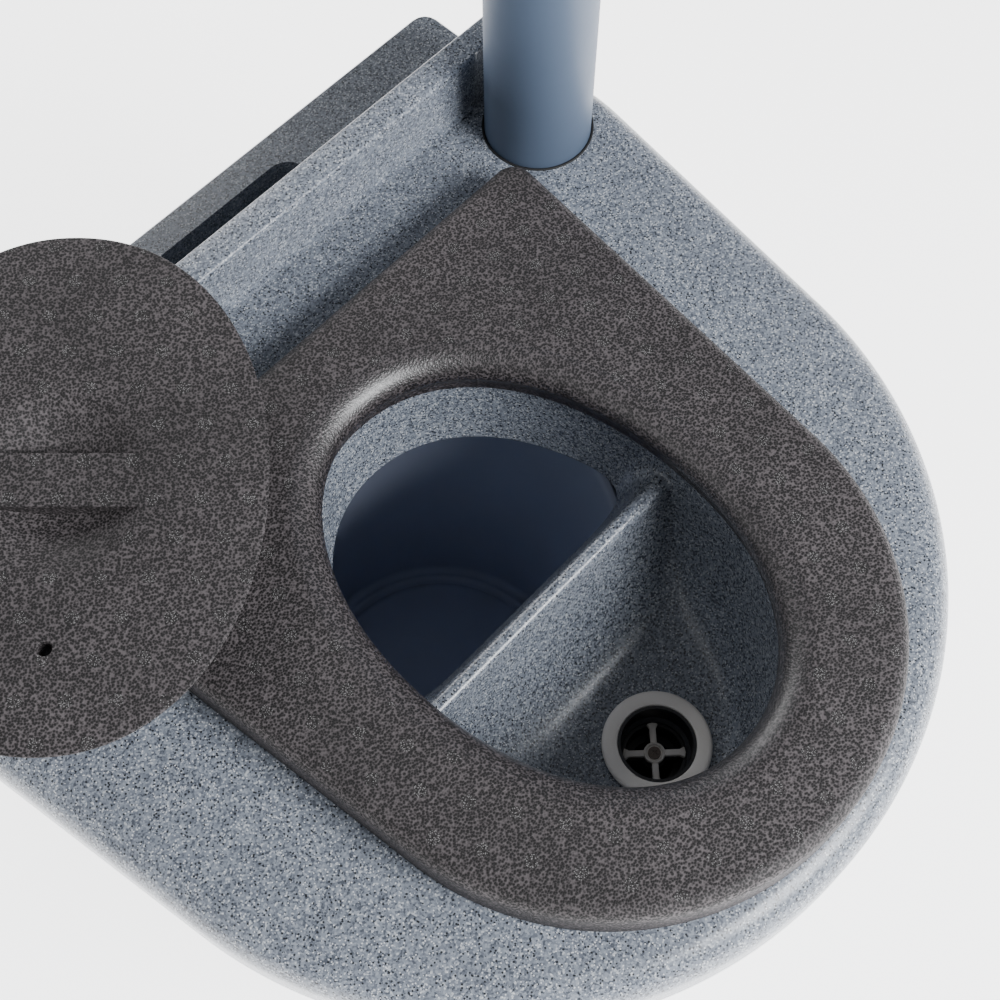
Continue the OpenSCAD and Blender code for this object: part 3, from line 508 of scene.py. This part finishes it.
pulled(cove, [
    (0, 0, cove_radius, pi, pi * 1.5, 8), (cove_toe, -cove_radius), (cove_toe, -cove_radius - cove_foot),
    (-cove_radius, -cove_radius - cove_foot)], 0, (0, 0, pipe_x - hollow_half - hollow_edge - cove_start))
laid_along = Matrix(((0, 0, 1, 0), (0, -1, 0, 0), (-1, 0, 0, 0), (0, 0, 0, 1)))
at_ridge = Matrix.Translation((cove_start, ridge_front - cove_radius, deck + cove_radius))
bmesh.ops.transform(cove, verts=cove.verts, matrix=at_ridge @ laid_along)
bmesh.ops.recalc_face_normals(cove, faces=cove.faces)
collar = bmesh.new()
turned(collar, [
    (39.5, 434.5), (44.5, 434.5), (44.5, 376), (43.5, 375), (35.3, 375), (35.3, 381), (39.5, 381),
    (39.5, 434.5)], (pipe_x, pipe_y, 0))


def joined(name, *shapes):
    whole = bmesh.new()
    for shape in shapes:
        part = bpy.data.meshes.new("part")
        shape.to_mesh(part)
        whole.from_mesh(part)
        bpy.data.meshes.remove(part)
        shape.free()
    return build(name, whole)


show(joined("cover_deck", cover, ridge, cove, collar), granite("cover_granite", 0.36), "top_cover",
     body="cover", slot="granite_cover", sharp=38)


# WELL: the part of the cover under its brim, in the same moulding. It is a
# cage of a few rings, smoothed into one flowing wall, which forks at the crest
# of the partition into the urine bowl in front and the chute behind.
def lowered(shape, edges, move, home=None):
    """Extrudes edges and moves each new point where move(x, y) says, from its home where it has one."""
    grown = bmesh.ops.extrude_edge_only(shape, edges=edges)["geom"]
    for vert in grown:
        if isinstance(vert, bmesh.types.BMVert):
            start = vert[home] if home else vert.co
            vert.co = move(start.x, start.y)
    return [item for item in grown if isinstance(item, bmesh.types.BMEdge)]


def stretched(shape, edges, half_w, half_l, y, level):
    """Extrudes an oval loop to new half sizes round a new middle at a new level."""
    points = {vert for edge in edges for vert in edge.verts}
    wide = max(vert.co.x for vert in points)
    front, back = min(vert.co.y for vert in points), max(vert.co.y for vert in points)
    return lowered(shape, edges, lambda old_x, old_y: Vector((
        old_x / wide * half_w, y + (2 * old_y - front - back) / (back - front) * half_l, level)))


def circled(shape, edges, radius, y, level, home=None):
    """Extrudes a loop onto a circle round (0, y) at a new level."""
    return lowered(shape, edges, lambda old_x, old_y: (
        Vector((old_x, old_y - y, 0)).normalized() * radius + Vector((0, y, level))), home)


crest_level, crest_front, crest_back, draft, wall = 0.413, -0.0925, -0.083, 0.003, 0.0042
drain_y, bowl_floor, bowl_floor_radius = -0.188, 0.330, 0.041
chute_level, chute_front, chute_inset, chute_corner = 0.373, -0.069, 0.0096, 0.028
crest_half_w = well_half_w - draft
well = bmesh.new()
home = well.verts.layers.float_vector.new("home")
wall_ring = oval(well, well_half_w, well_half_l, well_y, deck - 0.0055, 64, True)
for inset, level in ((0.0001, 0.4285), (0.0012, 0.421), (draft, crest_level)):
    wall_ring = stretched(well, wall_ring, well_half_w - inset, well_half_l - inset, well_y, level)


def nearest(edges, point):
    return min(edges, key=lambda edge: sum((vert.co - point).length for vert in edge.verts))


def at_crest(vert):
    return abs(vert.co.z - crest_level) < near


crest_ends = [nearest(wall_ring, Vector((side, well_y, crest_level))) for side in (1, -1)]
strip = bmesh.ops.bridge_loops(well, edges=crest_ends)["faces"][0]
long_edges = [edge for edge in strip.edges if edge not in crest_ends]
bmesh.ops.subdivide_edges(well, edges=long_edges, cuts=11, use_grid_fill=True)
for vert in well.verts:
    # The crest's points stand closer together towards the wall
    if at_crest(vert) and abs(vert.co.x) < 0.108 and abs(vert.co.y - well_y) < 0.02:
        place = crest_half_w * sin(vert.co.x / crest_half_w * pi / 2)
        vert.co = (place, crest_front if vert.co.y < well_y else crest_back, crest_level)
    vert[home] = vert.co


def half_loop(side):
    return [edge for edge in well.edges if all(
        at_crest(vert) and (vert.co.y - well_y) * side > 0 for vert in edge.verts)]


def bowl_point(share, x, y):
    """A quarter oval runs from each point at the crest's level down to the round floor."""
    reach, level = sqrt(1 - share * share), crest_level - (crest_level - bowl_floor) * share
    on_crest = y > crest_front - 0.004 and abs(x) < 0.112
    turn = acos(x / crest_half_w) if on_crest else atan2((y - well_y) / well_half_l, x / well_half_w)
    floor_x, floor_y = bowl_floor_radius * cos(turn), drain_y + bowl_floor_radius * sin(turn)
    return Vector((floor_x + (x - floor_x) * reach, floor_y + (y - floor_y) * reach, level))


def chute_point(share, x, y):
    """The chute narrows downwards, and its front corners grow round."""
    narrow = 1 - (chute_inset - draft) * share / crest_half_w
    line = crest_back + (chute_front - crest_back) * share
    x, y = x * narrow, max(well_y + (y - well_y) * narrow, line)
    corner = Vector((crest_half_w * narrow - chute_corner, line + chute_corner))
    out = Vector((abs(x), y)) - corner
    if out.x > 0 > out.y and out.length > chute_corner:
        on_arc = corner + out.normalized() * chute_corner
        pull = min(1, share * 2.5)
        x, y = copysign(abs(x) + (on_arc.x - abs(x)) * pull, x), y + (on_arc.y - y) * pull
    return Vector((x, y, crest_level + (chute_level - crest_level) * share))


front_loop, back_loop = half_loop(-1), half_loop(1)
for share in (0.10, 0.26, 0.45, 0.62, 0.77, 0.89, 0.965, 1.0):
    front_loop = lowered(well, front_loop, lambda x, y: bowl_point(share, x, y), home)
for radius in (0.035, 0.029):
    front_loop = circled(well, front_loop, radius, drain_y, bowl_floor)
for share in (0.12, 0.4, 0.7, 0.93, 1.0):
    back_loop = lowered(well, back_loop, lambda x, y: chute_point(share, x, y), home)
well.verts.layers.float_vector.remove(home)
bmesh.ops.recalc_face_normals(well, faces=well.faces)
crest_faces = [face for face in well.faces if abs(face.calc_center_median().z - crest_level) < near]
if sum(face.normal.z * face.calc_area() for face in crest_faces) < 0:
    bmesh.ops.reverse_faces(well, faces=well.faces)
well_piece = build("cover_well", well)
thicken = well_piece.modifiers.new("thicken", "SOLIDIFY")
thicken.thickness, thicken.offset = wall, -1
smoothed = well_piece.modifiers.new("smoothed", "SUBSURF")
smoothed.levels = smoothed.render_levels = 2
# The well's granite is a darker copy at shade 0.78: painted shade for the bowl that lies deep under the seat
show(well_piece, granite("well_granite_painted_shade", 0.30, 0.78), body="cover", slot="granite_cover", sharp=180)


# SEAT: a warm seat of moulded charcoal bead foam, its opening edged with a
# broad rolled lip and keyed into the well by a short rim underneath.
def bead_foam(name, top, laid=None):
    """Fused beads with dark middles; the mould's vents stand in staggered rows on the flat top."""
    finish = Finish(name, (0.05, 0.05, 0.05), 0.6, Coat_Weight=0.05, Coat_Roughness=0.36)
    where = finish.place(laid)
    bead, tone = finish.cells(680.0, where), finish.cell_value(680.0, where)
    beads = finish.ramp(bead + tone * 0.14, [
        (0.0, (0.0045, 0.0038, 0.0040)), (0.44, (0.0080, 0.0068, 0.0072)),
        (0.57, (0.034, 0.0295, 0.0308)), (0.86, (0.108, 0.094, 0.098))])
    smudge = finish.ramp(finish.noise(14.0, 4.0), [(0.3, 0.80), (0.7, 1.18)])
    x, y, z = finish.axes(where)
    rows, columns, vent_radius = 42.5, 37.0, 0.00412
    row = (y * rows).floor()
    aside, along = x * columns + row * 0.5, y * rows - row - 0.5
    aside, along = (aside - aside.floor() - 0.5) / columns, along / rows
    vent = (aside * aside + along * along < vent_radius ** 2) * (z > top - 0.0004)
    prick = finish.cells(1000.0, where)
    vented = finish.mix(prick < 0.34, (0.010, 0.009, 0.009), (0.30, 0.29, 0.29))
    finish.set("Base Color", finish.mix(vent * 0.6, finish.mix(1.0, beads, smudge, "MULTIPLY"), vented))
    finish.set("Roughness", 0.55 + 0.25 * finish.noise(220.0, 3.0, where))
    finish.bump(1 - bead - vent * 0.4, 0.0006, 0.6)
    return finish


seat_front, seat_back, seat_foot, seat_top = -0.308, 0.130, 0.4353, 0.4703
seat_front_radius, seat_corner, seat_edge, seat_flare = 0.177, 0.015, 0.009, radians(5.9)
opening_y, opening_half_w, opening_half_l, lip_reach, lip_depth = -0.0865, 0.106, 0.1525, 0.022, 0.016
smooth_half_w, smooth_half_l = 0.127, 0.174
arc_y, corner_y = seat_front + seat_front_radius, seat_back - seat_corner
corner_x = (seat_front_radius - seat_corner - sin(seat_flare) * (arc_y - corner_y)) / cos(seat_flare)


def seat_outline(shape, inset, z):
    return mirrored(shape, [(0, arc_y, seat_front_radius - inset, -pi / 2, -seat_flare, 64),
                            (corner_x, corner_y, seat_corner - inset, -seat_flare, pi / 2, 12)], z)


# The lip has a skin that the mould pressed smooth
foam = bead_foam("seat_bead_foam", seat_top)
x, y, z = foam.axes(foam.place())
aside, along = x / smooth_half_w, (y - opening_y) / smooth_half_l
smooth = aside * aside + along * along < 1
foam.set("Coat Weight", 0.05 + 0.95 * smooth)
foam.set("Roughness", 0.55 + 0.25 * foam.noise(220.0, 3.0) - 0.30 * smooth)
seat = bmesh.new()
sides = [seat_outline(seat, inset, seat_foot + rise) for inset, rise in (
    (0.0045, 0), (0.0020, hair), (0.0004, 0.0016), (0, 0.003))]
for inset, drop in quarter_round(seat_edge, seat_edge, range(0, 90, 10)):
    sides.append(seat_outline(seat, inset, seat_top - drop))
sides.append(seat_outline(seat, seat_edge + 0.002, seat_top))
skin(seat, sides)
outer_reach = lip_reach + 0.004
outer_lip = oval(seat, opening_half_w + outer_reach, opening_half_l + outer_reach, opening_y, seat_top)
lip = outer_lip
for reach, drop in quarter_round(lip_reach, lip_depth, range(90, -1, -9)):
    lip = stretched(seat, lip, opening_half_w + reach, opening_half_l + reach, opening_y, seat_top - drop)
# Under the lip the wall falls back to the short rim that stands in the well
for reach, level in ((0.0006, 0.4522), (0.0024, 0.4492), (0.0050, 0.4455), (0.0072, 0.4405),
                     (0.0080, 0.4350), (0.0080, 0.4302), (0.0086, 0.4293), (0.0094, 0.4290),
                     (0.0101, 0.4292), (0.0107, 0.4300), (0.0108, seat_foot - hair), (0.0140, seat_foot)):
    lip = stretched(seat, lip, opening_half_w + reach, opening_half_l + reach, well_y, level)
fill_between(seat, sides[-1], outer_lip)
fill_between(seat, sides[0], lip)
bmesh.ops.recalc_face_normals(seat, faces=seat.faces)
show(build("seat_foam", seat), foam, "seat", body="seat", slot="seat_foam", sharp=32)

# LID: an oval plug of the same bead foam, laid aside on the seat and the
# ridge. Two soft finger scoops leave a bar between them to lift it by.
lid_half_w, lid_half_l, lid_thick, lid_draw, lid_edge = 0.119, 0.160, 0.032, 0.022, 0.003
bar_half, scoop_reach, scoop_half, scoop_depth, scoop_steps = 0.0165, 0.042, 0.048, 0.013, 16
hang_y, hang_radius, level_slack = -0.100, 0.004, 0.00001
lid_x, lid_y, lid_base, lid_turn, lid_tilt = -0.168, 0.140, 0.4822, radians(-45), radians(5.44)
lid = bmesh.new()
bottom = oval(lid, lid_half_w - lid_draw - 0.004, lid_half_l - lid_draw - 0.004, 0, 0)
lid_ring = bottom
for inset, level in ((lid_draw + 0.0012, 0.0003), (lid_draw, 0.0012),
                     (lid_edge + 0.001, lid_thick - lid_edge - 0.001), (0.0012, lid_thick - 0.0020),
                     (0.0002, lid_thick - 0.0012), (0.0000, lid_thick - 0.0008),
                     (0.0004, lid_thick - 0.0003), (0.0012, lid_thick - 0.00005), (0.003, lid_thick)):
    lid_ring = stretched(lid, lid_ring, lid_half_w - inset, lid_half_l - inset, 0, level)


def on_top(edge):
    return all(vert.co.z > lid_thick - level_slack for vert in edge.verts)


# Each scoop is a turned dish, cut off straight where the bar begins
scoop_radius = (scoop_reach ** 2 + scoop_half ** 2) / (2 * scoop_reach)
shares = [step / scoop_steps for step in range(scoop_steps + 1)]
holes = []
for side in (1, -1):
    known = set(lid.edges)
    profile = [lid.verts.new((scoop_radius * share, 0, lid_thick - scoop_depth * (1 - share ** 2) ** 1.5))
               for share in shares]
    ribs = [lid.edges.new(pair) for pair in zip(profile, profile[1:])]
    bmesh.ops.spin(lid, geom=profile + ribs, cent=(0, 0, 0), axis=(0, 0, 1), angle=2 * pi, steps=96,
                   use_merge=True)
    verts = list({vert for edge in lid.edges if edge not in known for vert in edge.verts})
    bmesh.ops.remove_doubles(lid, verts=verts, dist=0.00001)
    verts = [vert for vert in verts if vert.is_valid]
    bmesh.ops.translate(lid, verts=verts, vec=(0, side * (bar_half + scoop_reach - scoop_radius), 0))
    faces = list({face for vert in verts for face in vert.link_faces})
    edges = list({edge for vert in verts for edge in vert.link_edges})
    cut = bmesh.ops.bisect_plane(lid, geom=verts + edges + faces, plane_co=(0, side * bar_half, 0),
                                 plane_no=(0, side, 0), clear_inner=True)["geom_cut"]
    chord = [item for item in cut if isinstance(item, bmesh.types.BMEdge)]
    ends = sorted((vert for vert in {vert for edge in chord for vert in edge.verts}
                   if vert.co.z > lid_thick - level_slack), key=lambda vert: vert.co.x)
    straight = lid.edges.new((ends[0], ends[-1]))
    bmesh.ops.contextual_create(lid, geom=chord + [straight])
    holes += [edge for edge in lid.edges if edge not in known and len(edge.link_faces) == 1 and on_top(edge)]
hole_top = bmesh.ops.create_circle(lid, segments=32, radius=hang_radius + 0.0006,
                                   matrix=Matrix.Translation((0, hang_y, lid_thick)))["verts"]
hole_edges = list({edge for vert in hole_top for edge in vert.link_edges})
around = hole_edges
for radius, level in ((hang_radius + 0.0001, lid_thick - 0.0006), (hang_radius, lid_thick - 0.0016),
                      (hang_radius, 0.0)):
    around = circled(lid, around, radius, hang_y, level)
fill_between(lid, lid_ring, holes + hole_edges)
fill_between(lid, bottom, around)
bmesh.ops.recalc_face_normals(lid, faces=lid.faces)
tilted = Matrix.Rotation(lid_tilt, 4, "X") @ Matrix.Rotation(lid_turn, 4, "Z")
laid = Matrix.Translation((lid_x, lid_y, lid_base)) @ tilted
bmesh.ops.transform(lid, verts=lid.verts, matrix=laid)
show(build("lid_foam", lid), bead_foam("lid_bead_foam", lid_thick, laid), "lid", body="lid",
     slot="lid_foam", sharp=32)

# VENT PIPE: an extruded grey-blue drain pipe. Its upper end is a moulded
# socket with a bead for the lip seal.
vent_plastic = Finish("vent_pipe_plastic", (0.20, 0.26, 0.37), 0.34, Specular_IOR_Level=0.3)
vent_plastic.mottled(5.0, 3.0, (0.088, 0.120, 0.178), (0.102, 0.138, 0.204))
vent_plastic.rubbed(30.0, 4.0, 0.16, 0.42)
vent_plastic.bump(vent_plastic.noise(240.0), 0.0002, 0.12)
vent = bmesh.new()
turned(vent, [
    (35.3, 381.4), (35.7, 381.0), (36.2, 381.0), (37.1, 382.6), (37.5, 385.0), (37.5, 872.6),
    (38.1, 874.8), (39.4, 878.2), (40.0, 880.6), (40.0, 911.6), (40.8, 913.2), (43.2, 914.2),
    (44.0, 915.8), (44.0, 923.6), (43.2, 925.2), (40.8, 926.2), (40.0, 927.8), (40.0, 934.0),
    (39.4, 935.0), (38.6, 935.0), (37.8, 933.2), (37.8, 924.2), (41.8, 924.2), (41.8, 915.2),
    (37.8, 915.2), (37.8, 881.0), (36.9, 879.2), (35.3, 876.6), (35.3, 381.4)], (pipe_x, pipe_y, 0), 128)
show(build("vent_pipe_tube", vent), vent_plastic, "vent_pipe", body="cover", slot="vent_plastic", sharp=40)

# GROMMET: a black rubber ring pushed into the cover's collar, with a rounded
# upper lip that closes the gap round the pipe's foot.
grommet = bmesh.new()
turned(grommet, [
    (37.52, 426), (39.45, 426), (39.45, 435.4), (39.1, 435.9), (38.5, 436.0), (37.9, 435.8),
    (37.52, 435.2), (37.52, 426)], (pipe_x, pipe_y, 0), 128)
show(build("vent_grommet", grommet), rubber, "vent_pipe_grommet", body="cover", slot="black_rubber", sharp=60)

# DRAIN: a turned flange of off-white plastic clamps the strainer cup in the
# bowl's floor. A moulded cross of the same plastic lies in the cup, held by a
# stained steel screw.
stained_steel = Finish("stained_steel", (0.13, 0.11, 0.095), 0.45, Metallic=1.0)
stained_steel.mottled(900.0, 3.0, (0.09, 0.07, 0.06), (0.20, 0.17, 0.15))
stained_steel.rubbed(600.0, 3.0, 0.2, 0.35)
dress(stained_steel, "grate_screw")
drain_plastic = Finish("drain_plastic", (0.50, 0.45, 0.40), 0.5)
drain_plastic.mottled(35.0, 4.0, (0.88, 0.82, 0.75), (0.95, 0.91, 0.85))
drain_plastic.rubbed(80.0, 3.0, 0.2, 0.4)
drain_plastic.bump(drain_plastic.noise(350.0), 0.0002, 0.2)
flange = bmesh.new()
turned(flange, [
    (25.6, 331.5), (35.4, 331.5), (35.8, 331.9), (35.8, 333.4), (35.3, 334.4), (34.2, 335.2),
    (32.6, 335.5), (27.0, 335.5), (26.0, 335.2), (25.6, 334.5), (25.6, 331.5)], (0, drain_y, 0), 128)
show(build("drain_ring", flange), drain_plastic, "drain_flange", body="cover", slot="drain_white", sharp=40)
grate_foot, grate_thick = 0.311, 0.0033
arm_start, arm_stop, arm_half, end_half = 0.0068, 0.0206, 0.0021, 0.0036
arm_side = [(arm_start, arm_half), (arm_stop - 0.004, arm_half), (arm_stop - 0.0012, end_half),
            (arm_stop - 0.0005, end_half - 0.0006)]
arm = [(along, -aside) for along, aside in arm_side] + [(arm_stop, 0)] + arm_side[::-1]
grate = bmesh.new()
for quarter in range(4):
    turn = Matrix.Rotation(radians(45) + quarter * pi / 2, 2)
    pulled(grate, [turn @ Vector(corner) for corner in arm], grate_foot, (0, 0, grate_thick))
bmesh.ops.recalc_face_normals(grate, faces=grate.faces)
top_level = grate_foot + grate_thick - near
rounded(grate, [edge for edge in grate.edges if all(vert.co.z > top_level for vert in edge.verts)], 0.0005, 2)
bmesh.ops.translate(grate, verts=grate.verts, vec=(0, drain_y, 0))
hub = bmesh.new()
turned(hub, [
    (2.0, 311.1), (6.6, 311.1), (7.2, 311.8), (7.2, 314.0), (6.8, 314.7), (6.1, 314.9), (5.6, 314.5),
    (5.4, 312.9), (2.0, 312.9), (2.0, 311.1)], (0, drain_y, 0), 64)
show(joined("drain_cross", grate, hub), drain_plastic, "drain_grate", body="cover", slot="drain_white",
     sharp=40)
